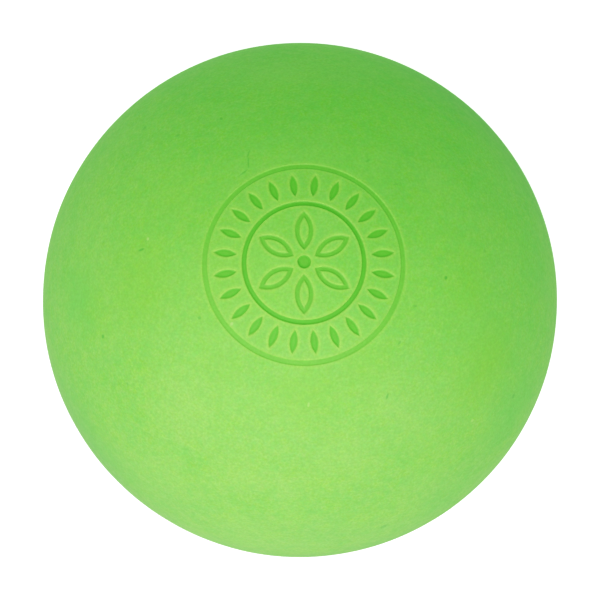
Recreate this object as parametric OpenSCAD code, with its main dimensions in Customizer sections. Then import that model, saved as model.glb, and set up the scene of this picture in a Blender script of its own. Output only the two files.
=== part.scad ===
// Lacrosse ball: one solid moulding of rubber, with a recessed mark at the top of the ball and a low
// parting ridge round its middle. Millimetres, origin at the ball's centre, +Z through the mark.

/* [Ball] */
// Diameter of the ball
ball_diameter = 63.5; // [52:0.1:76]
// Width of the ridge where the two halves of the mould met
parting_width = 0.8; // [0.6:0.05:1]
// Height of that ridge above the ball
parting_height = 0.04; // [0.03:0.01:0.08]

/* [Ring grooves] */
// Diameter of the outer ring, along the middle of its groove
outer_ring_diameter = 23.2; // [20:0.1:28]
// Width of the outer groove at the ball's surface
outer_groove_width = 0.7; // [0.5:0.05:0.9]
// Depth of the outer groove
outer_groove_depth = 0.1; // [0.08:0.01:0.25]
// Diameter of the inner ring, along the middle of its groove
inner_ring_diameter = 14; // [11:0.1:17]
// Width of the inner groove at the ball's surface
inner_groove_width = 0.6; // [0.4:0.05:0.8]
// Depth of the inner groove
inner_groove_depth = 0.18; // [0.1:0.01:0.3]

/* [Border of leaves] */
// Number of leaves in the band between the rings
leaf_count = 24; // [12:1:28]
// Width of a leaf across its middle
leaf_width = 0.95; // [0.7:0.05:1.1]
// Gap from a leaf's tip to the edge of a groove
leaf_gap = 0.6; // [0.4:0.05:0.8]

/* [Rosette] */
// Number of petals inside the inner ring
petal_count = 6; // [4:1:7]
// Width of a petal across its middle
petal_width = 2.2; // [1.7:0.05:2.5]
// Width of the sunk line that runs round a petal's raised middle
petal_line_width = 0.6; // [0.4:0.05:0.7]
// Gap from a petal's outer tip to the edge of the inner groove
petal_gap = 0.6; // [0.5:0.05:0.9]
// Gap from a petal's inner tip to the edge of the centre dimple
hub_gap = 0.6; // [0.5:0.05:0.9]
// Diameter of the dimple at the centre, at the ball's surface
dimple_diameter = 1.6; // [1.2:0.05:2]
// Depth of the dimple
dimple_depth = 0.2; // [0.15:0.01:0.4]
// Depth of the leaves and of the petals' lines
recess_depth = 0.15; // [0.1:0.01:0.3]

/* [Hidden] */
$fn = 128;
rubber_green = [0.53, 0.81, 0.35];
// How far a cut runs on past the surface that it opens
cut_overrun = 1;
ball_radius = ball_diameter / 2;
outer_ring_radius = outer_ring_diameter / 2;
inner_ring_radius = inner_ring_diameter / 2;
dimple_radius = dimple_diameter / 2;

// Radius of the circle whose arc has this chord and this height
function arc_radius(chord, height) = (pow(chord / 2, 2) + pow(height, 2)) / (2 * height);

// Low ridge of round section that stands out of the ball's middle
module parting_ridge() {
    section_radius = arc_radius(parting_width, parting_height);
    rotate_extrude()
        translate([ball_radius + parting_height - section_radius, 0])
            circle(r = section_radius);
}

// Cutter for a groove of round section, which follows a circle of this radius round the ball's axis
module ring_groove(ring_radius, width, depth) {
    section_radius = arc_radius(width, depth);
    rotate_extrude()
        rotate(-asin(ring_radius / ball_radius))
            translate([0, ball_radius + section_radius - depth])
                circle(r = section_radius);
}

// Cutter for the round dimple at the mark's centre
module centre_dimple() {
    section_radius = arc_radius(dimple_diameter, dimple_depth);
    translate([0, 0, ball_radius + section_radius - dimple_depth])
        sphere(r = section_radius);
}

// Outline of two equal arcs that meet in tips on the X axis, at these distances from the origin. An inset
// draws the line that runs inside it, this far from its edge.
module pointed_oval(near_tip, far_tip, width, inset = 0) {
    side_radius = arc_radius(far_tip - near_tip, width / 2);
    translate([(near_tip + far_tip) / 2, 0])
        intersection_for(side = [-1, 1])
            translate([0, side * (side_radius - width / 2)])
                circle(r = side_radius - inset);
}

// The outlines given, repeated this many times round the ball's axis. The first copy stands half a step
// off the X axis, so that the pattern is the same on both sides of that axis.
module round_the_axis(count) {
    for (i = [0:count - 1])
        rotate((i + 0.5) * 360 / count)
            children();
}

// Leaves that point along the radius, in the band between the two rings
module leaf_border() {
    near_tip = inner_ring_radius + inner_groove_width / 2 + leaf_gap;
    far_tip = outer_ring_radius - outer_groove_width / 2 - leaf_gap;
    round_the_axis(leaf_count)
        pointed_oval(near_tip, far_tip, leaf_width);
}

// Petals that reach from the centre dimple to the inner ring, each a sunk line round a raised middle
module rosette() {
    near_tip = dimple_radius + hub_gap;
    far_tip = inner_ring_radius - inner_groove_width / 2 - petal_gap;
    round_the_axis(petal_count)
        difference() {
            pointed_oval(near_tip, far_tip, petal_width);
            pointed_oval(near_tip, far_tip, petal_width, inset = petal_line_width);
        }
}

// Cutter for recesses of the outlines given. Their walls follow the mould's draw along Z, and their
// floors follow the ball.
module recess(depth) {
    difference() {
        linear_extrude(height = ball_radius + cut_overrun)
            children();
        sphere(r = ball_radius - depth);
    }
}

module ball() {
    color(rubber_green)
        difference() {
            union() {
                sphere(r = ball_radius);
                parting_ridge();
            }
            ring_groove(outer_ring_radius, outer_groove_width, outer_groove_depth);
            ring_groove(inner_ring_radius, inner_groove_width, inner_groove_depth);
            centre_dimple();
            recess(recess_depth) {
                leaf_border();
                rosette();
            }
        }
}

ball();
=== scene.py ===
"""A solid rubber lacrosse ball with a moulded mark, seen from above on a white studio table."""
import math

import bpy
import numpy as np
from bpy.props import FloatProperty, FloatVectorProperty, IntProperty, PointerProperty
from mathutils import Euler, Matrix, Vector


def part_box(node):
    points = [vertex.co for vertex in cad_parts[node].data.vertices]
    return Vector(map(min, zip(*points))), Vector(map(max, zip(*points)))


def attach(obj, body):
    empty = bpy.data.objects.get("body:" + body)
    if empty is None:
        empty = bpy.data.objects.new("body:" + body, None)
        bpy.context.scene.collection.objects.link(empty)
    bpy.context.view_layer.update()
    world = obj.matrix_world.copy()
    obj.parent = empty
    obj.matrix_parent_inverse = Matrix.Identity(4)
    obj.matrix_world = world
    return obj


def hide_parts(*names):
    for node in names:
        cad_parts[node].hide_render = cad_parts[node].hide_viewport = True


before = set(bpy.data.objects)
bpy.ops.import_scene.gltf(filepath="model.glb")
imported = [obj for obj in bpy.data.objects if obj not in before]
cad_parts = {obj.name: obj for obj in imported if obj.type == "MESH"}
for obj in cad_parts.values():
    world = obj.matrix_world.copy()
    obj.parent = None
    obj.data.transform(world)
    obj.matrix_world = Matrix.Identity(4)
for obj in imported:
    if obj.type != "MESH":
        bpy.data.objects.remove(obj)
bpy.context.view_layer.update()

bl_info = {
    "name": "Lacrosse Ball",
    "version": (1, 0, 0),
    "blender": (4, 5, 0),
    "location": "View3D > Sidebar > Lacrosse Ball",
    "description": "Makes a moulded rubber ball with a recessed mark, and the stage that it is seen on",
    "category": "Add Mesh",
}

MM = 0.001
BOX_LOW, BOX_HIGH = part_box("ball")
BALL_RADIUS = -BOX_LOW.z
PARTING_HEIGHT = BOX_HIGH.x - BALL_RADIUS

# Width of the image in pixels, width of the camera's sensor in millimetres, and the nearest and the furthest
# that the camera sees.
IMAGE_WIDTH = 600
SENSOR_WIDTH = 36.0
NEAREST, FURTHEST = 0.01, 20.0

# A soft noise stays mostly between these two values, so a ramp on it runs from one to the other.
NOISE_LOW, NOISE_HIGH = 0.3, 0.7

# The table's own white, the strength of the glow under the ball that the camera doesn't see, and how far
# that reaches, in radii of the ball.
TABLE_WHITE = (0.8, 0.8, 0.8)
UNDER_GLOW, UNDER_REACH = 0.22, 0.55
# The table's grey and its glow as the camera sees them, close to the point that the ball stands on and away
# from it, and where the change starts and ends, in radii of the ball.
NEAR_GREY, NEAR_GLOW = (0.75, 0.75, 0.75), 0.3
FAR_GREY, FAR_GLOW = (0.25, 0.25, 0.25), 0.94
GLOW_START, GLOW_END = 0.3, 1.3

# Flecks scattered by chance. Each row gives the spacing of the cells that they lie in, how far a cell is
# drawn out, its turn about the three axes, half the width of a fleck, and the share of the cells with one.
SPECKS = (5.0 * MM, 1.0, (0.3, 0.5, 0.1), 0.22 * MM, 0.35)
THREADS = (4.0 * MM, 3.0, (0.2, 0.4, 1.1), 0.12 * MM, 0.3)
CHIPS = (9.0 * MM, 1.0, (0.9, 0.2, 0.7), 0.2 * MM, 0.3)
# Share of the way from the middle of such a fleck to its edge at which it starts to fade.
FLECK_CORE = 0.4
# A noise of this size shifts those flecks by up to this much, which makes them ragged.
RAGGED_SIZE, RAGGED_SHIFT = 0.5 * MM, 0.4 * MM

# Spots that are placed one by one start to fade and are gone at these distances from their middle, where 1
# is the edge of the row's ellipse: flecks first, and then broad drifts.
FLECK_FADE = (0.5, 1.3)
DRIFT_FADE = (0.0, 1.5)

# Flecks in the ball's skin. Each row gives the distance along the ball from the mark's centre, the angle
# round the axis, the length, the width, the turn off the line to the mark's centre, and how much it shows,
# in millimetres and degrees.
DARK_FLECKS = (
    (17.6, 356, 0.5, 0.4, 70, 0.8),
    (28.4, 197, 0.55, 0.5, 35, 0.7),
    (20.6, 173, 0.95, 0.3, 20, 0.7),
    (19.1, 303, 0.8, 0.3, 135, 0.6),
    (22.5, 118, 0.5, 0.35, 10, 0.6),
    (14.1, 207, 0.45, 0.4, 135, 0.5),
    (14.9, 321, 0.55, 0.3, 90, 0.5),
    (36.0, 332, 0.7, 0.6, 100, 0.5),
    (15.2, 59, 0.65, 0.3, 170, 0.4),
    (40.9, 289, 1.0, 0.8, 140, 0.4),
    (14.3, 340, 0.6, 0.3, 15, 0.4),
    (15.1, 42, 0.85, 0.25, 155, 0.35),
    (31.0, 136, 0.6, 0.6, 50, 0.4),
    (24.6, 132, 0.55, 0.45, 30, 0.4),
    (23.8, 7, 0.5, 0.4, 125, 0.35),
    (27.9, 212, 0.5, 0.4, 80, 0.35),
    (15.4, 116, 1.2, 0.2, 140, 0.5),
    (14.3, 118, 1.5, 0.2, 156, 0.5),
    (13.4, 123, 1.4, 0.2, 95, 0.5),
)
PALE_FLECKS = (
    (19.9, 169, 0.4, 0.4, 105, 0.9),
    (31.1, 320, 0.5, 0.45, 50, 0.6),
    (17.0, 272, 0.65, 0.3, 172, 0.6),
    (11.2, 220, 0.5, 0.35, 0, 0.9),
)
# Broad drifts, in rows of the same kind, under the name of the finish's colour that each goes to, in the
# order in which they are laid on. Many paint light and shade: the pale ones on the lower side are painted
# highlights of the two softboxes, the bright one over the mark is painted light, the cool dark ones and some
# of the less yellow ones at the rim are painted shade, and the bluer ones along the lower rim a painted
# sheen. The others tint the ball here and there.
DRIFTS_AND_PAINTED_LIGHT = {
    "bloom_and_sheen": (
        (19.5, 305, 13, 8, 0, 0.25),
        (24, 230, 12, 9, 60, 0.25),
        (28.5, 260, 8, 14, 0, 0.2),
        (28.5, 90, 8, 16, 0, 0.3),
        (20.5, 35, 6, 6, 0, 0.3),
        (23.5, 288, 9, 14, 0, 0.15),
        (23.5, 260, 7, 14, 0, 0.15),
        (16.7, 325, 7, 8, 0, 0.12),
        (20, 207, 7, 8, 0, 0.1),
    ),
    "grass_green": (
        (38, 330, 9, 14, 0, 0.5),
        (32, 185, 8, 9, 0, 0.5),
        (34, 5, 10, 12, 0, 0.25),
        (24, 342, 15, 9, 0, 0.22),
        (33, 341, 8, 12, 0, 0.2),
        (42, 305, 8, 14, 0, 0.25),
        (42, 217, 8, 20, 0, 0.25),
    ),
    "green": (
        (20.5, 185, 11, 13, 0, 0.35),
        (27.5, 335, 9, 12, 0, 0.4),
        (15.5, 270, 8, 9, 0, 0.25),
        (21.5, 355, 7, 9, 0, 0.25),
        (8, 190, 14, 22, 0, 0.2),
        (27.7, 190, 8, 9, 0, 0.15),
        (17.9, 152, 8, 8, 0, 0.2),
        (15, 233, 6, 7, 0, 0.2),
        (14.8, 300, 6, 7, 0, 0.25),
    ),
    "mint_green": (
        (40, 268, 9, 32, 0, 0.15),
        (37, 238, 12, 14, 0, 0.15),
        (38, 300, 10, 12, 0, 0.12),
        (49, 225, 8, 40, 0, 0.25),
    ),
    "painted_light_green": (
        (4, 270, 32, 44, 0, 0.22),
    ),
    "rim_shade_green": (
        (48, 215, 18, 30, 0, 0.3),
        (45, 45, 22, 30, 0, 0.45),
        (53, 280, 12, 50, 0, 0.3),
    ),
}


class BallSizes(bpy.types.PropertyGroup):
    """Sizes of the ball itself."""

    radius: FloatProperty(
        name="Radius", description="Radius of the smooth ball", default=BALL_RADIUS, unit="LENGTH")
    parting_height: FloatProperty(
        name="Parting height", description="Height of the ridge where the mould's halves met",
        default=PARTING_HEIGHT, unit="LENGTH")
    parting_width: FloatProperty(
        name="Parting width", description="Width of that ridge", default=0.8 * MM, unit="LENGTH")
    unevenness: FloatProperty(
        name="Unevenness", description="Depth of the slow hollows in the moulded surface",
        default=0.03 * MM, unit="LENGTH")
    seed: IntProperty(name="Seed", description="Seed of the slow hollows", default=7)


class MarkSizes(bpy.types.PropertyGroup):
    """Sizes of the recessed mark, as on the CAD model."""

    outer_ring: FloatProperty(
        name="Outer ring", description="Radius of the middle of the outer groove",
        default=11.6 * MM, unit="LENGTH")
    outer_width: FloatProperty(
        name="Outer groove width", description="Width of the outer groove",
        default=0.7 * MM, unit="LENGTH")
    outer_depth: FloatProperty(
        name="Outer groove depth", description="Depth of the outer groove",
        default=0.1 * MM, unit="LENGTH")
    inner_ring: FloatProperty(
        name="Inner ring", description="Radius of the middle of the inner groove",
        default=7.0 * MM, unit="LENGTH")
    inner_width: FloatProperty(
        name="Inner groove width", description="Width of the inner groove",
        default=0.6 * MM, unit="LENGTH")
    inner_depth: FloatProperty(
        name="Inner groove depth", description="Depth of the inner groove",
        default=0.18 * MM, unit="LENGTH")
    leaf_count: IntProperty(
        name="Leaves", description="Number of leaves between the rings", default=24)
    leaf_width: FloatProperty(
        name="Leaf width", description="Width of a leaf", default=0.95 * MM, unit="LENGTH")
    leaf_gap: FloatProperty(
        name="Leaf gap", description="Gap from a leaf's tip to a groove",
        default=0.6 * MM, unit="LENGTH")
    petal_count: IntProperty(
        name="Petals", description="Number of petals in the rosette", default=6)
    petal_width: FloatProperty(
        name="Petal width", description="Width of a petal", default=2.2 * MM, unit="LENGTH")
    petal_line: FloatProperty(
        name="Petal line", description="Width of the sunk line round a petal's raised middle",
        default=0.6 * MM, unit="LENGTH")
    petal_gap: FloatProperty(
        name="Petal gap", description="Gap from a petal's tips to the inner groove and the dimple",
        default=0.6 * MM, unit="LENGTH")
    dimple_radius: FloatProperty(
        name="Dimple radius", description="Radius of the dimple at the centre",
        default=0.8 * MM, unit="LENGTH")
    dimple_depth: FloatProperty(
        name="Dimple depth", description="Depth of that dimple", default=0.2 * MM, unit="LENGTH")
    recess_depth: FloatProperty(
        name="Recess depth", description="Depth of the leaves and petals",
        default=0.15 * MM, unit="LENGTH")
    wall_width: FloatProperty(
        name="Wall width", description="Width over which a recess goes down from lip to floor",
        default=0.18 * MM, unit="LENGTH")
    lip_round: FloatProperty(
        name="Lip rounding", description="How far the rounding of a lip reaches past its edge",
        default=0.04 * MM, unit="LENGTH")
    # A floor that gets paler away from its wall leaves the recess's painted shade deepest next to the wall.
    floor_width: FloatProperty(
        name="Floor width", description="Width over which a recess's floor gets a little paler, away from "
        "its wall", default=0.3 * MM, unit="LENGTH")
    floor_pale: FloatProperty(
        name="Floor pale", description="How much paler such a floor gets, 1 for the colour of the surface",
        default=0.15)
    petal_shade: FloatProperty(
        name="Petal shade", description="Share of the sunk colour in the petals' lines, next to the leaves",
        default=0.82)
    # The paler lip is partly rubbed rubber and partly a painted highlight along the recess's edge.
    lip_width: FloatProperty(
        name="Lip width", description="Width of the rubbed, paler lip round a recess",
        default=0.5 * MM, unit="LENGTH")
    # The outer groove's paler lips are partly rubbing and partly a painted highlight.
    outer_rub_and_highlight: FloatProperty(
        name="Outer rub", description="How pale the outer groove's lips are, next to the other lips",
        default=0.55)


class RubberFinish(bpy.types.PropertyGroup):
    """Colours and finish of the rubber, some of which paint light and shade."""

    green: FloatVectorProperty(
        name="Green", description="Colour of the moulded surface", subtype="COLOR",
        default=(0.229, 0.644, 0.017))
    # Mint green is also laid on in placed drifts along the lower rim, where it is a painted bluish sheen.
    mint_green: FloatVectorProperty(
        name="Mint green", description="Colour of the bluer patches of its mottling",
        subtype="COLOR", default=(0.285, 0.66, 0.16))
    grass_green: FloatVectorProperty(
        name="Grass green", description="Colour of the less yellow patches of its mottling",
        subtype="COLOR", default=(0.13, 0.645, 0.08))
    # Painted light: this colour is laid on in one placed drift over the mark, which brightens it.
    painted_light_green: FloatVectorProperty(
        name="Fresh green", description="Colour of the brighter drift round the mark",
        subtype="COLOR", default=(0.29, 0.82, 0.1))
    # Painted shade: this colour is laid on in placed drifts at the rim, which make the ball's edge darker and
    # cooler.
    rim_shade_green: FloatVectorProperty(
        name="Cool green", description="Colour of the cooler, darker drifts",
        subtype="COLOR", default=(0.09, 0.47, 0.09))
    # The recesses' colour is partly the unrubbed rubber and partly painted shade, deepest next to their
    # walls.
    sunk_green_and_shade: FloatVectorProperty(
        name="Sunk green", description="Colour of the unrubbed rubber in the recesses",
        subtype="COLOR", default=(0.10, 0.575, 0.022))
    # On the lips this colour is partly rubbed rubber and partly a painted highlight.
    pale_green: FloatVectorProperty(
        name="Pale green", description="Colour of the rubbed lips of the recesses, and of pale patches",
        subtype="COLOR", default=(0.4, 0.76, 0.105))
    # Bloom is also laid on in placed drifts on the lower side, where it is a painted highlight of the
    # softboxes.
    bloom_and_sheen: FloatVectorProperty(
        name="Bloom", description="Colour of the pale film that rubber gets as it ages",
        subtype="COLOR", default=(0.39, 0.71, 0.172))
    deep_green: FloatVectorProperty(
        name="Deep green", description="Colour of the darkest grains of the mottling",
        subtype="COLOR", default=(0.125, 0.42, 0.02))
    fleck: FloatVectorProperty(
        name="Fleck", description="Colour of the dark flecks in the surface",
        subtype="COLOR", default=(0.06, 0.48, 0.035))
    drift_size: FloatProperty(
        name="Drift size", description="Size of the slow drifts of colour that lie there by chance",
        default=7.0 * MM, unit="LENGTH")
    patch_size: FloatProperty(
        name="Patch size", description="Size of the patches of the mottling",
        default=1.2 * MM, unit="LENGTH")
    grain_size: FloatProperty(
        name="Grain size", description="Size of its fine grain", default=0.3 * MM, unit="LENGTH")
    grain_bloom: FloatProperty(
        name="Grain of bloom", description="Most bloom that the grain gives", default=0.53)
    patch_mint: FloatProperty(
        name="Patches of mint", description="Most mint green that the patches give", default=0.5)
    patch_grass: FloatProperty(
        name="Patches of grass", description="Most grass green that the patches give", default=0.46)
    grain_grass: FloatProperty(
        name="Grain of grass", description="Most grass green that the grain gives", default=0.35)
    drift_pale: FloatProperty(
        name="Drifts of pale", description="Most pale green that the drifts give", default=0.14)
    drift_mint: FloatProperty(
        name="Drifts of mint", description="Most mint green that the drifts give", default=0.16)
    patch_deep: FloatProperty(
        name="Patches of deep", description="Most deep green that the patches give", default=0.085)
    grain_deep: FloatProperty(
        name="Grain of deep", description="Most deep green that the grain gives", default=0.2)
    ridge_bloom: FloatProperty(
        name="Bloom on ridge", description="Bloom on the parting ridge", default=0.2)
    # The lips' pale is partly rubbing and partly a painted highlight.
    lip_rub_and_highlight: FloatProperty(
        name="Rub of lips", description="Pale green at the edge of a recess", default=0.6)
    dark_specks: FloatProperty(
        name="Dark specks", description="How much the scattered dark flecks show", default=0.35)
    pale_chips: FloatProperty(
        name="Pale chips", description="How much the scattered pale flecks show", default=0.3)
    relief_depth: FloatProperty(
        name="Relief depth", description="Depth of the fine relief of grain, patches and flecks",
        default=0.012 * MM, unit="LENGTH")
    grain_relief: FloatProperty(
        name="Grain relief", description="Share of the grain in that relief", default=0.6)
    patch_relief: FloatProperty(
        name="Patch relief", description="Share of the patches in that relief", default=0.8)
    roughness: FloatProperty(
        name="Roughness", description="Roughness of the moulded surface", default=0.6)
    roughness_spread: FloatProperty(
        name="Roughness spread", description="How far the patches change the roughness either way",
        default=0.05)


class StageSetup(bpy.types.PropertyGroup):
    """The camera, the lamps and the table."""

    surroundings: FloatVectorProperty(
        name="Surroundings", description="Light that reaches the ball from all round",
        subtype="COLOR", default=(0.326, 0.713, 0.256))
    lamp_colour: FloatVectorProperty(
        name="Lamp colour", description="Colour of the two softboxes at the ball's near side",
        subtype="COLOR", default=(0.928, 0.395, 1.0))
    left_level: FloatProperty(
        name="Left level", description="Light of the left softbox on a surface that faces it, where 1 shows "
        "the surface in its own colour", default=1.05)
    left_around: FloatProperty(
        name="Left around", description="Angle of the left softbox round the ball's axis, from +X",
        default=math.radians(235.0), unit="ROTATION")
    left_above: FloatProperty(
        name="Left above", description="Angle of the left softbox above the table",
        default=math.radians(45.0), unit="ROTATION")
    right_level: FloatProperty(
        name="Right level", description="Light of the right softbox, counted alike", default=0.455)
    right_around: FloatProperty(
        name="Right around", description="Angle of the right softbox round the ball's axis, from +X",
        default=math.radians(300.0), unit="ROTATION")
    right_above: FloatProperty(
        name="Right above", description="Angle of the right softbox above the table",
        default=math.radians(30.0), unit="ROTATION")
    lamp_distance: FloatProperty(
        name="Lamp distance", description="From a softbox to the ball's centre",
        default=1.5, unit="LENGTH")
    lamp_size: FloatProperty(
        name="Lamp size", description="Side of a softbox", default=1.5, unit="LENGTH")
    distance: FloatProperty(
        name="Distance", description="From the camera to the ball's centre",
        default=0.5, unit="LENGTH")
    tilt: FloatProperty(
        name="Tilt", description="Angle of the view off the ball's axis, towards -Y",
        default=math.radians(8.08), unit="ROTATION")
    lean: FloatProperty(
        name="Lean", description="Angle of the view off the ball's axis, towards -X",
        default=math.radians(0.9), unit="ROTATION")
    outline_radius: FloatProperty(
        name="Outline radius", description="Radius of the ball's outline in the image, in pixels",
        default=257.25)
    table_size: FloatProperty(
        name="Table size", description="Side of the white table", default=4.0, unit="LENGTH")


def smooth_step(amount):
    """Rises from 0 to 1 as the amount does, level at both ends: three squares less two cubes."""
    amount = np.clip(amount, 0.0, 1.0)
    return amount * amount * (3.0 - 2.0 * amount)


def sunk(inside, sizes):
    """Share of the full depth at each distance inside an outline. It starts just outside the edge, at the
    rounding of the lip, and reaches the floor one wall's width further in."""
    return smooth_step((inside + sizes.lip_round) / sizes.wall_width)


def inside_pointed_oval(along, across, near_tip, far_tip, width):
    """Distance inside an outline of two equal arcs that meet in tips. By Pythagoras an arc of chord c and
    height h has radius (c squared / 4 + h squared) / 2h. Within the outline the distance to its edge is
    that radius less the distance to the far arc's centre, and beyond a tip it is that to the tip."""
    half_chord, height = (far_tip - near_tip) / 2, width / 2
    arc_radius = (half_chord**2 + height**2) / (2 * height)
    centre_drop = arc_radius - height
    along = np.abs(along - (near_tip + far_tip) / 2)
    across = np.abs(across)
    to_arc = arc_radius - np.hypot(along, across + centre_drop)
    to_tip = -np.hypot(along - half_chord, across)
    beyond_tip = (along - half_chord) * centre_drop > across * half_chord
    return np.where(beyond_tip, to_tip, to_arc)


def arc_to(ring_radius, ball):
    """Distance along the ball from the mark's centre to a ring of this radius: the ball's radius times the
    arcsine of one radius over the other."""
    return ball.radius * math.asin(ring_radius / ball.radius)


def folded(around, count):
    """The angle round the axis, counted from the middle of the nearest of this many equal sectors. The
    first sector starts on the X axis, so its middle is half a step off it."""
    step = 2 * math.pi / count
    return around - (np.floor(around / step) + 0.5) * step


def mark_relief(arc, around, ball, mark):
    """Depth of the mark at each point of the ball, how much the point has the colour of a recess, and how
    much it is part of a recess's lip, from its distance along the ball from the mark's centre and its
    angle round the axis. The rings depend on the distance alone. The leaves and petals are outlines in the
    plane square to the axis, folded into one sector. The colour of a recess is partly the unrubbed rubber and
    partly painted shade: it is the recess's shade times its depth over the full depth, and a little weaker on
    a floor away from its wall, so that the painted shade is deepest next to the walls. The paler lip is
    partly rubbed rubber and partly a painted highlight: it is the recess's rub at its edge, and fades out
    over the lip's width."""
    flat = ball.radius * np.sin(arc / ball.radius)
    flat = np.where(arc < ball.radius * math.pi / 2, flat, ball.radius)
    depth = np.zeros_like(arc)
    recess_tone_and_shade = np.zeros_like(arc)
    lip = np.zeros_like(arc)

    def cut(inside, full_depth, shade=1.0, rub_and_highlight=1.0):
        down = sunk(inside, mark) * full_depth
        full_tone_and_shade = shade * np.clip(down / mark.recess_depth, 0.0, 1.0)
        # Paler away from the wall: the painted shade of a recess is deepest next to it.
        paler = 1.0 - mark.floor_pale * smooth_step((inside - mark.wall_width) / mark.floor_width)
        np.maximum(depth, down, out=depth)
        np.maximum(recess_tone_and_shade, full_tone_and_shade * paler, out=recess_tone_and_shade)
        # The paler lip is partly rubbing and partly a painted highlight.
        np.maximum(lip, rub_and_highlight * (1.0 - smooth_step(-inside / mark.lip_width)), out=lip)

    cut(mark.outer_width / 2 - np.abs(arc - arc_to(mark.outer_ring, ball)), mark.outer_depth,
        rub_and_highlight=mark.outer_rub_and_highlight)
    cut(mark.inner_width / 2 - np.abs(arc - arc_to(mark.inner_ring, ball)), mark.inner_depth)
    cut(mark.dimple_radius - arc, mark.dimple_depth)

    turn = folded(around, mark.leaf_count)
    inside = inside_pointed_oval(
        flat * np.cos(turn), flat * np.sin(turn),
        mark.inner_ring + mark.inner_width / 2 + mark.leaf_gap,
        mark.outer_ring - mark.outer_width / 2 - mark.leaf_gap, mark.leaf_width)
    cut(inside, mark.recess_depth)

    turn = folded(around, mark.petal_count)
    inside = inside_pointed_oval(
        flat * np.cos(turn), flat * np.sin(turn), mark.dimple_radius + mark.petal_gap,
        mark.inner_ring - mark.inner_width / 2 - mark.petal_gap, mark.petal_width)
    cut(np.minimum(inside, mark.petal_line - inside), mark.recess_depth, shade=mark.petal_shade)
    return depth, recess_tone_and_shade, lip


def slow_hollows(directions, seed):
    """A slow random field of 0 to 1 over the sphere: the sum of cosine waves that run across it in random
    directions, from 2 to 9 of them from side to side, pressed into that range by a hyperbolic tangent."""
    waves = 40
    fewest, most = 2.0, 9.0
    rng = np.random.default_rng(seed)
    headings = rng.normal(size=(waves, 3))
    headings /= np.linalg.norm(headings, axis=1, keepdims=True)
    counts = rng.uniform(fewest, most, waves)
    starts = rng.uniform(0.0, 2 * math.pi, waves)
    phases = directions @ (headings * counts[:, None] * math.pi).T + starts
    return 0.5 + 0.5 * np.tanh(np.cos(phases).sum(axis=1) / math.sqrt(2.0 * waves))


def ring_layout(ball, mark):
    """Distances along the ball from the mark's centre at which the mesh has a ring of vertices, and the
    number of vertices in each ring. The rings are close together where the mark is, and closest in its
    two grooves. Each row of bands gives where the band ends, how far apart its rings are, and the number
    of vertices in a ring. Neighbouring bands have the same number, or one a multiple of the other."""
    equator = ball.radius * math.pi / 2
    beside_ridge = 0.6 * MM
    inner, inner_half = arc_to(mark.inner_ring, ball), mark.inner_width / 2 + 2 * mark.lip_round
    outer, outer_half = arc_to(mark.outer_ring, ball), mark.outer_width / 2 + 2 * mark.lip_round
    bands = (
        (1.3 * MM, 0.06 * MM, 96),
        (3.1 * MM, 0.1 * MM, 192),
        (inner - inner_half, 0.1 * MM, 384),
        (inner + inner_half, 0.05 * MM, 768),
        (outer - outer_half, 0.11 * MM, 768),
        (outer + outer_half, 0.05 * MM, 768),
        (outer + mark.outer_width / 2 + mark.lip_width, 0.1 * MM, 768),
        (equator - beside_ridge, 1.0 * MM, 192),
        (equator + beside_ridge, 0.1 * MM, 192),
        (2 * equator - 10.0 * MM, 1.0 * MM, 192),
        (2 * equator - 4.0 * MM, 1.0 * MM, 96),
        (2 * equator - 1.0 * MM, 1.0 * MM, 24),
    )
    arcs, segments, start = [], [], 0.0
    for end, step, count in bands:
        rings = max(1, round((end - start) / step))
        arcs.extend(np.linspace(start, end, rings + 1)[1:])
        segments.extend([count] * rings)
        start = end
    return np.array(arcs), np.array(segments)


def band_faces(first_a, count_a, first_b, count_b):
    """Triangles between two rings of vertices, where one count is a multiple of the other. Each edge of the
    coarse ring is split in two at its middle: one corner's fan takes the first half of the fine edges, the
    other corner's fan the rest, and one triangle stands between them."""
    a_is_coarse = count_a <= count_b
    coarse_first, coarse = (first_a, count_a) if a_is_coarse else (first_b, count_b)
    fine_first, fine = (first_b, count_b) if a_is_coarse else (first_a, count_a)
    ratio = fine // coarse
    edge = np.arange(fine)
    half = (ratio + 1) // 2
    owner = (edge // ratio + (edge % ratio >= half)) % coarse
    fans = np.stack([coarse_first + owner, fine_first + edge, fine_first + (edge + 1) % fine], axis=1)
    corner = np.arange(coarse)
    middles = np.stack([coarse_first + corner, fine_first + (corner * ratio + half) % fine,
                        coarse_first + (corner + 1) % coarse], axis=1)
    faces = np.concatenate([fans, middles])
    return faces if a_is_coarse else faces[:, ::-1]


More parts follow.
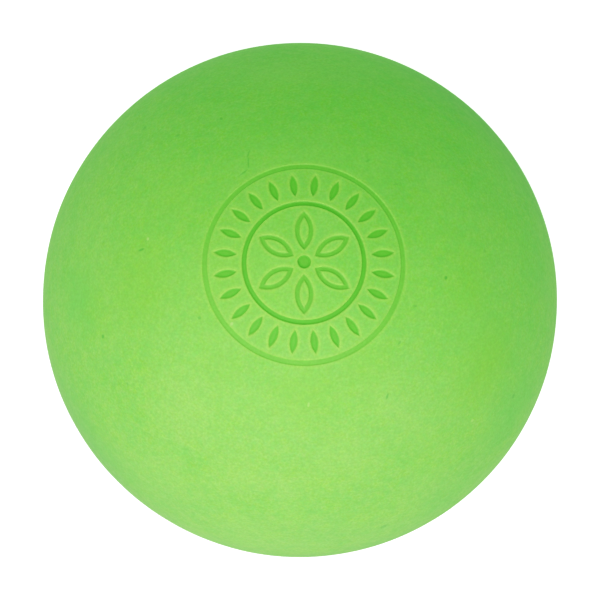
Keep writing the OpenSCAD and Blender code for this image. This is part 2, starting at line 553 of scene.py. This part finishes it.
def moulded_ball_mesh(ball, mark):
    """Mesh of the ball on rings about +Z. A vertex at arc a from the mark's centre and angle t round the
    axis lies in the direction (sin u cos t, sin u sin t, cos u), where u is a over the radius. Its height
    is the radius, less the mark's depth and the slow hollows, plus the parting ridge at the equator."""
    arcs, segments = ring_layout(ball, mark)
    firsts = np.concatenate([[1], 1 + np.cumsum(segments)])
    arc = np.concatenate([[0.0], np.repeat(arcs, segments), [ball.radius * math.pi]])
    step = np.arange(firsts[-1] - 1) - np.repeat(firsts[:-1] - 1, segments)
    around = np.concatenate([[0.0], step * 2 * math.pi / np.repeat(segments, segments), [0.0]])

    polar = arc / ball.radius
    directions = np.stack([np.sin(polar) * np.cos(around), np.sin(polar) * np.sin(around),
                           np.cos(polar)], axis=1)
    depth, recess_tone_and_shade, lip = mark_relief(arc, around, ball, mark)
    off_equator = np.abs(arc - ball.radius * math.pi / 2) / (ball.parting_width / 2)
    ridge = 1.0 - smooth_step(off_equator)
    height = (ball.radius - depth + ridge * ball.parting_height
              - slow_hollows(directions, ball.seed) * ball.unevenness)
    places = directions * height[:, None]

    last = len(arc) - 1
    spoke = np.arange(segments[0])
    top = np.stack([np.zeros_like(spoke), 1 + spoke, 1 + (spoke + 1) % segments[0]], axis=1)
    spoke = np.arange(segments[-1])
    low_first = firsts[-2]
    bottom = np.stack([np.full_like(spoke, last), low_first + (spoke + 1) % segments[-1],
                       low_first + spoke], axis=1)
    bands = [band_faces(firsts[i], segments[i], firsts[i + 1], segments[i + 1])
             for i in range(len(arcs) - 1)]
    faces = np.concatenate([top, *bands, bottom])

    mesh = bpy.data.meshes.new("moulded_ball")
    mesh.from_pydata(places, [], faces.tolist())
    mesh.polygons.foreach_set("use_smooth", np.ones(len(mesh.polygons), dtype=bool))
    # The sunk attribute carries the recess colour, partly unrubbed rubber and partly painted shade; the lip
    # attribute the paler lips, partly rubbed and partly a painted highlight.
    for name, values in (("sunk", recess_tone_and_shade), ("lip", lip), ("ridge", ridge)):
        attribute = mesh.attributes.new(name, "FLOAT", "POINT")
        attribute.data.foreach_set("value", values.astype(np.float32))
    mesh.validate()
    mesh.update()
    return mesh


def add_node(tree, kind, inputs=None, **settings):
    """Adds a node with these settings. Each input given is linked if it is a socket, and set if not."""
    node = tree.nodes.new(kind)
    for name, value in settings.items():
        setattr(node, name, value)
    for key, value in (inputs or {}).items():
        if isinstance(value, bpy.types.NodeSocket):
            tree.links.new(value, node.inputs[key])
        else:
            node.inputs[key].default_value = value
    return node


def combined(tree, operation, a, b):
    """Result of this operation of a Math node on two numbers or sockets."""
    return add_node(tree, "ShaderNodeMath", {0: a, 1: b}, operation=operation).outputs[0]


def ramp(tree, value, low, high, to_low=0.0, to_high=1.0):
    """A number that goes smoothly from to_low to to_high while the value goes from low to high."""
    inputs = {"Value": value, "From Min": low, "From Max": high, "To Min": to_low, "To Max": to_high}
    return add_node(tree, "ShaderNodeMapRange", inputs, interpolation_type="SMOOTHSTEP").outputs["Result"]


def mixed(tree, amount, a, b):
    """Colour a where the amount is 0, and b where it is 1. A Mix node's inputs 0, 6 and 7 are the amount
    and its two colours, and its output 2 is the colour."""
    node = add_node(tree, "ShaderNodeMix", data_type="RGBA")
    for socket, value in ((node.inputs[0], amount), (node.inputs[6], a), (node.inputs[7], b)):
        if isinstance(value, bpy.types.NodeSocket):
            tree.links.new(value, socket)
        elif isinstance(value, float):
            socket.default_value = value
        else:
            socket.default_value = (*value, 1.0)
    return node.outputs[2]


def clouds(tree, place, size, detail, roughness=0.5):
    """Three soft noises of 0 to 1, each on its own, whose largest patches are about this size."""
    inputs = {"Vector": place, "Scale": 1.0 / size, "Detail": detail, "Roughness": roughness}
    noise = add_node(tree, "ShaderNodeTexNoise", inputs)
    parts = add_node(tree, "ShaderNodeSeparateColor", {"Color": noise.outputs["Color"]})
    return parts.outputs["Red"], parts.outputs["Green"], parts.outputs["Blue"]


def spread(tree, noise, most, least=0.0):
    """A number that goes smoothly from the least to the most as a soft noise goes through its range."""
    return ramp(tree, noise, NOISE_LOW, NOISE_HIGH, least, most)


def mottled(tree, coarse, most_coarse, fine, most_fine):
    """Amount of a colour that comes and goes in coarse patches and in a fine grain, with the most that
    each gives."""
    return combined(tree, "ADD", spread(tree, coarse, most_coarse), spread(tree, fine, most_fine))


def placed_spots(tree, place, radius, rows, fade):
    """Mask of single spots. Each is an ellipsoid that lies in the skin of the ball. Its own axes come from
    the ball's: turned by its turn about Z, by its arc over the radius about Y, and by its angle about Z. A
    spot goes from full to gone between the two distances of its fade, where 1 is the ellipsoid's edge."""
    full, gone = fade
    mask = 0.0
    for arc, around, length, width, turn, strength in rows:
        turned = (Matrix.Rotation(math.radians(around), 3, "Z") @ Matrix.Rotation(arc * MM / radius, 3, "Y")
                  @ Matrix.Rotation(math.radians(turn), 3, "Z"))
        own = add_node(tree, "ShaderNodeMapping", {
            "Vector": place, "Location": turned @ Vector((0.0, 0.0, radius)),
            "Rotation": turned.to_euler(),
            "Scale": (length * MM / 2, width * MM / 2, width * MM)}, vector_type="TEXTURE")
        off_centre = add_node(tree, "ShaderNodeVectorMath", {0: own.outputs[0]}, operation="LENGTH")
        shape = ramp(tree, off_centre.outputs["Value"], full, gone, strength, 0.0)
        mask = combined(tree, "MAXIMUM", mask, shape)
    return mask


def flecks(tree, place, spacing, stretch, turn, half_width, share):
    """Mask of sparse flecks, 1 in a fleck. Space is divided into random cells of about this spacing, drawn
    out along one turned axis, and a given share of the cells have a fleck at their centre."""
    scale = (1.0 / (spacing * stretch), 1.0 / spacing, 1.0 / spacing)
    turned = add_node(tree, "ShaderNodeMapping", {"Vector": place, "Rotation": turn, "Scale": scale})
    cells = add_node(tree, "ShaderNodeTexVoronoi", {"Vector": turned.outputs[0], "Scale": 1.0})
    edge = half_width / spacing
    shape = ramp(tree, cells.outputs["Distance"], FLECK_CORE * edge, edge, 1.0, 0.0)
    chosen = add_node(tree, "ShaderNodeSeparateColor", {"Color": cells.outputs["Color"]})
    return combined(tree, "MULTIPLY", shape, combined(tree, "LESS_THAN", chosen.outputs["Red"], share))


def rubber_material(finish, radius):
    """Moulded rubber: matte green, mottled with bloom and with bluer, less yellow and deeper greens in a
    fine grain, in patches and in slow drifts. Placed drifts paint light and shade on it: highlights of the
    softboxes, light over the mark and shade at the rim. It is deeper green in the recesses, partly unrubbed
    and partly painted shade, and paler along their lips, partly rubbed and partly a painted highlight, and
    has dark and pale flecks, a fine relief and a soft gloss."""
    material = bpy.data.materials.new("green_rubber")
    material.use_nodes = True
    tree = material.node_tree
    tree.nodes.clear()
    place = add_node(tree, "ShaderNodeTexCoord").outputs["Object"]
    sunk_and_shade_share = add_node(tree, "ShaderNodeAttribute", attribute_name="sunk").outputs["Fac"]
    lip = add_node(tree, "ShaderNodeAttribute", attribute_name="lip").outputs["Fac"]
    ridge = add_node(tree, "ShaderNodeAttribute", attribute_name="ridge").outputs["Fac"]

    drifts = clouds(tree, place, finish.drift_size, detail=1.0)
    patches = clouds(tree, place, finish.patch_size, detail=5.0, roughness=0.7)
    grain = clouds(tree, place, finish.grain_size, detail=2.0, roughness=0.6)

    colour = mixed(tree, spread(tree, grain[0], finish.grain_bloom), finish.green, finish.bloom_and_sheen)
    colour = mixed(tree, spread(tree, patches[0], finish.patch_mint), colour, finish.mint_green)
    grass = mottled(tree, patches[1], finish.patch_grass, grain[1], finish.grain_grass)
    colour = mixed(tree, grass, colour, finish.grass_green)
    colour = mixed(tree, spread(tree, drifts[0], finish.drift_pale), colour, finish.pale_green)
    colour = mixed(tree, spread(tree, drifts[1], finish.drift_mint), colour, finish.mint_green)
    # Placed drifts, many of them painted light and shade: highlights of the softboxes, light over the mark
    # and shade at the rim.
    for name, rows in DRIFTS_AND_PAINTED_LIGHT.items():
        drift_and_painted_light = placed_spots(tree, place, radius, rows, DRIFT_FADE)
        colour = mixed(tree, drift_and_painted_light, colour, getattr(finish, name))
    colour = mixed(tree, combined(tree, "MULTIPLY", ridge, finish.ridge_bloom), colour, finish.bloom_and_sheen)
    # Lips: partly rubbed and partly a painted highlight.
    colour = mixed(tree, combined(tree, "MULTIPLY", lip, finish.lip_rub_and_highlight), colour, finish.pale_green)
    # Recesses: partly the unrubbed rubber and partly painted shade, deepest next to their walls.
    colour = mixed(tree, sunk_and_shade_share, colour, finish.sunk_green_and_shade)
    deep = mottled(tree, patches[2], finish.patch_deep, grain[2], finish.grain_deep)
    colour = mixed(tree, deep, colour, finish.deep_green)

    ragged = add_node(tree, "ShaderNodeTexNoise", {"Vector": place, "Scale": 1.0 / RAGGED_SIZE})
    shift = add_node(tree, "ShaderNodeVectorMath", {
        0: ragged.outputs["Color"], "Scale": RAGGED_SHIFT}, operation="SCALE")
    shifted = add_node(tree, "ShaderNodeVectorMath", {
        0: place, 1: shift.outputs[0]}, operation="ADD").outputs[0]
    scattered = combined(tree, "MAXIMUM", flecks(tree, shifted, *SPECKS), flecks(tree, shifted, *THREADS))
    dark = combined(tree, "MAXIMUM", combined(tree, "MULTIPLY", scattered, finish.dark_specks),
                    placed_spots(tree, place, radius, DARK_FLECKS, FLECK_FADE))
    chips = flecks(tree, shifted, *CHIPS)
    pale = combined(tree, "MAXIMUM", combined(tree, "MULTIPLY", chips, finish.pale_chips),
                    placed_spots(tree, place, radius, PALE_FLECKS, FLECK_FADE))
    colour = mixed(tree, dark, colour, finish.fleck)
    colour = mixed(tree, pale, colour, finish.bloom_and_sheen)

    relief = combined(tree, "ADD", combined(tree, "MULTIPLY", grain[0], finish.grain_relief),
                      combined(tree, "MULTIPLY", patches[0], finish.patch_relief))
    relief = combined(tree, "SUBTRACT", relief, dark)
    bump = add_node(tree, "ShaderNodeBump", {
        "Height": relief, "Strength": 1.0, "Distance": finish.relief_depth})
    roughness = spread(tree, patches[1], finish.roughness + finish.roughness_spread,
                       finish.roughness - finish.roughness_spread)
    shader = add_node(tree, "ShaderNodeBsdfPrincipled", {
        "Base Color": colour, "Roughness": roughness, "Normal": bump.outputs[0], "IOR": 1.5,
        "Specular IOR Level": 0.3})
    output = add_node(tree, "ShaderNodeOutputMaterial")
    tree.links.new(shader.outputs[0], output.inputs["Surface"])
    return material


def table_material(radius):
    """White table. The camera sees it in a grey with a white glow added, so that it is pure white except
    where the ball's shadow falls. Both change with the distance from the axis, because the shadow is deep
    close to the point that the ball stands on. From below, the camera sees through the table to the
    ball's underside. All other rays meet plain matte white, with a weak glow under the ball, so that its
    underside isn't black."""
    material = bpy.data.materials.new("white_table")
    material.use_nodes = True
    tree = material.node_tree
    tree.nodes.clear()
    place = add_node(tree, "ShaderNodeTexCoord").outputs["Object"]
    flat = add_node(tree, "ShaderNodeVectorMath", {0: place, 1: (1.0, 1.0, 0.0)}, operation="MULTIPLY")
    off_axis = add_node(tree, "ShaderNodeVectorMath", {0: flat.outputs[0]}, operation="LENGTH")
    glow_share = ramp(tree, off_axis.outputs["Value"], GLOW_START * radius, GLOW_END * radius)
    matte = add_node(tree, "ShaderNodeBsdfDiffuse", {"Color": (*TABLE_WHITE, 1.0)})
    underglow = add_node(tree, "ShaderNodeEmission", {
        "Color": (1.0, 1.0, 1.0, 1.0),
        "Strength": ramp(tree, off_axis.outputs["Value"], 0.0, UNDER_REACH * radius, UNDER_GLOW, 0.0)})
    lit = add_node(tree, "ShaderNodeAddShader", {0: matte.outputs[0], 1: underglow.outputs[0]})
    seen_colour = mixed(tree, glow_share, NEAR_GREY, FAR_GREY)
    shadowed = add_node(tree, "ShaderNodeBsdfDiffuse", {"Color": seen_colour})
    glow = add_node(tree, "ShaderNodeEmission", {
        "Color": (1.0, 1.0, 1.0, 1.0),
        "Strength": ramp(tree, glow_share, 0.0, 1.0, NEAR_GLOW, FAR_GLOW)})
    seen = add_node(tree, "ShaderNodeAddShader", {0: shadowed.outputs[0], 1: glow.outputs[0]})
    path = add_node(tree, "ShaderNodeLightPath")
    chosen = add_node(tree, "ShaderNodeMixShader", {
        0: path.outputs["Is Camera Ray"], 1: lit.outputs[0], 2: seen.outputs[0]})
    from_below = combined(tree, "MULTIPLY", path.outputs["Is Camera Ray"],
                          add_node(tree, "ShaderNodeNewGeometry").outputs["Backfacing"])
    clear = add_node(tree, "ShaderNodeBsdfTransparent")
    one_sided = add_node(tree, "ShaderNodeMixShader", {
        0: from_below, 1: chosen.outputs[0], 2: clear.outputs[0]})
    output = add_node(tree, "ShaderNodeOutputMaterial")
    tree.links.new(one_sided.outputs[0], output.inputs["Surface"])
    return material


def square_mesh(name, side, height):
    """One level square of this side, centred on the axis at this height, facing up."""
    half = side / 2
    corners = [(x * half, y * half, height) for x, y in ((-1, -1), (1, -1), (1, 1), (-1, 1))]
    mesh = bpy.data.meshes.new(name)
    mesh.from_pydata(corners, [], [(0, 1, 2, 3)])
    mesh.update()
    return mesh


def add_object(name, data):
    """Links a new object, with this mesh, lamp or camera, to the scene."""
    thing = bpy.data.objects.new(name, data)
    bpy.context.scene.collection.objects.link(thing)
    return thing


def white_world(light):
    """Surroundings that light the ball with this colour from all round, and that the camera, gloss and
    glass see as pure white."""
    world = bpy.data.worlds.new("white_studio")
    world.use_nodes = True
    tree = world.node_tree
    tree.nodes.clear()
    path = add_node(tree, "ShaderNodeLightPath")
    mirrored = combined(tree, "MAXIMUM", path.outputs["Is Glossy Ray"], path.outputs["Is Transmission Ray"])
    seen = combined(tree, "MAXIMUM", path.outputs["Is Camera Ray"], mirrored)
    colour = mixed(tree, seen, light, (1.0, 1.0, 1.0))
    background = add_node(tree, "ShaderNodeBackground", {"Color": colour})
    output = add_node(tree, "ShaderNodeOutputWorld")
    tree.links.new(background.outputs[0], output.inputs["Surface"])
    bpy.context.scene.world = world


def add_softbox(name, around, above, level, stage):
    """Square softbox at these angles round the ball's axis and above the table, turned to the ball. Its
    power is the level times the square of pi times the distance."""
    data = bpy.data.lights.new(name, "AREA")
    data.shape = "SQUARE"
    data.size = stage.lamp_size
    data.energy = level * (math.pi * stage.lamp_distance) ** 2
    data.color = stage.lamp_colour
    lamp = add_object(name, data)
    toward = Vector((math.cos(above) * math.cos(around), math.cos(above) * math.sin(around), math.sin(above)))
    lamp.location = toward * stage.lamp_distance
    lamp.rotation_mode = "QUATERNION"
    lamp.rotation_quaternion = toward.to_track_quat("Z", "Y")
    lamp.visible_camera = False


def add_camera(ball, stage):
    """Camera that looks at the ball's centre. Its focal length makes the outline as large in the image as
    in the photograph: the outline's half angle has the sine radius over distance."""
    data = bpy.data.cameras.new("camera")
    half_angle = math.asin(ball.radius / stage.distance)
    data.sensor_width = SENSOR_WIDTH
    data.lens = stage.outline_radius / math.tan(half_angle) * SENSOR_WIDTH / IMAGE_WIDTH
    data.clip_start, data.clip_end = NEAREST, FURTHEST
    camera = add_object("camera", data)
    turn = Euler((stage.tilt, -stage.lean, 0.0))
    camera.location = turn.to_matrix() @ Vector((0.0, 0.0, stage.distance))
    camera.rotation_euler = turn
    bpy.context.scene.camera = camera


class LACROSSE_OT_moulded_ball(bpy.types.Operator):
    """Make the moulded rubber ball with its recessed mark"""

    bl_idname = "lacrosse.moulded_ball"
    bl_label = "Moulded Ball"
    bl_options = {"REGISTER", "UNDO"}

    def execute(self, context):
        scene = context.scene
        mesh = moulded_ball_mesh(scene.lacrosse_ball, scene.lacrosse_mark)
        piece = add_object("moulded_ball", mesh)
        piece.data.materials.append(rubber_material(scene.lacrosse_rubber, scene.lacrosse_ball.radius))
        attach(piece, "root")
        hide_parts("ball")
        return {"FINISHED"}


class LACROSSE_OT_stage(bpy.types.Operator):
    """Make the white table, the surroundings, the lamps and the camera"""

    bl_idname = "lacrosse.stage"
    bl_label = "Stage"
    bl_options = {"REGISTER", "UNDO"}

    def execute(self, context):
        scene = context.scene
        ball, stage = scene.lacrosse_ball, scene.lacrosse_stage
        table = add_object("table", square_mesh("table", stage.table_size, -ball.radius))
        table.data.materials.append(table_material(ball.radius))
        white_world(stage.surroundings)
        add_softbox("left_softbox", stage.left_around, stage.left_above, stage.left_level, stage)
        add_softbox("right_softbox", stage.right_around, stage.right_above, stage.right_level, stage)
        add_camera(ball, stage)
        scene.view_settings.view_transform = "Standard"
        return {"FINISHED"}


class LACROSSE_PT_panel(bpy.types.Panel):
    """Lists the ball's pieces and the sizes that they are made to"""

    bl_idname = "LACROSSE_PT_panel"
    bl_label = "Lacrosse Ball"
    bl_space_type = "VIEW_3D"
    bl_region_type = "UI"
    bl_category = "Lacrosse Ball"

    def draw(self, context):
        layout = self.layout
        for operator in OPERATORS:
            layout.operator(operator.bl_idname)
        for name in GROUPS:
            box = layout.box()
            group = getattr(context.scene, name)
            for setting in group.bl_rna.properties.keys():
                if setting not in ("rna_type", "name"):
                    box.prop(group, setting)


GROUPS = {
    "lacrosse_ball": BallSizes,
    "lacrosse_mark": MarkSizes,
    "lacrosse_rubber": RubberFinish,
    "lacrosse_stage": StageSetup,
}
OPERATORS = (LACROSSE_OT_moulded_ball, LACROSSE_OT_stage)


def register():
    for name, group in GROUPS.items():
        bpy.utils.register_class(group)
        setattr(bpy.types.Scene, name, PointerProperty(type=group))
    for operator in OPERATORS:
        bpy.utils.register_class(operator)
    bpy.utils.register_class(LACROSSE_PT_panel)


def unregister():
    bpy.utils.unregister_class(LACROSSE_PT_panel)
    for operator in reversed(OPERATORS):
        bpy.utils.unregister_class(operator)
    for name, group in reversed(GROUPS.items()):
        delattr(bpy.types.Scene, name)
        bpy.utils.unregister_class(group)


def main():
    """Makes the ball and its stage."""
    register()
    bpy.ops.lacrosse.moulded_ball()
    bpy.ops.lacrosse.stage()


if __name__ == "__main__":
    main()
